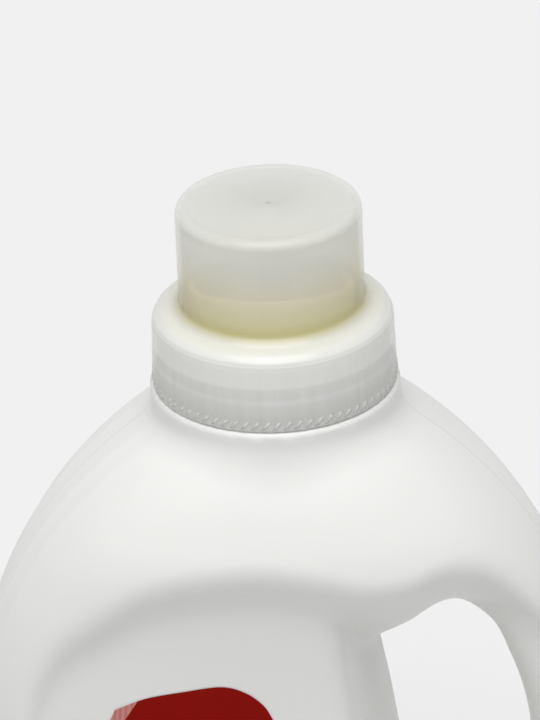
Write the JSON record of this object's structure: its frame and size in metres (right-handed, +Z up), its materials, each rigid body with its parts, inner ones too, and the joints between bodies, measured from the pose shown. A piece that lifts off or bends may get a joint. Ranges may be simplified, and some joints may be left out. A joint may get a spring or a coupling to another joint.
{
  "type": "laundry detergent bottle",
  "caption": "White blow-moulded detergent bottle with a side handle, a press-fit pour spout and a lift-off dosing cap.",
  "frame": {"origin": "centre of the base, on the surface that the bottle stands on", "axes": "+Z up, front panel towards -Y, handle towards +X"},
  "size_m": [0.1721, 0.0974, 0.2833],
  "materials": {
    "white_plastic": "satin white HDPE",
    "natural_plastic": "natural polyethylene, slightly yellow",
    "translucent_plastic": "translucent natural polypropylene",
    "red_film": "printed film"
  },
  "bodies": {
    "bottle": {"bottle": "white_plastic", "pour_spout": "natural_plastic", "label_flash": "red_film"},
    "cap": {"dosing_cap": "translucent_plastic"}
  },
  "joints": [
    {"name": "cap_lift", "type": "slide", "parent": "bottle", "child": "cap", "axis": [0, 0, 1], "range_m": [0, 0.05]}
  ]
}
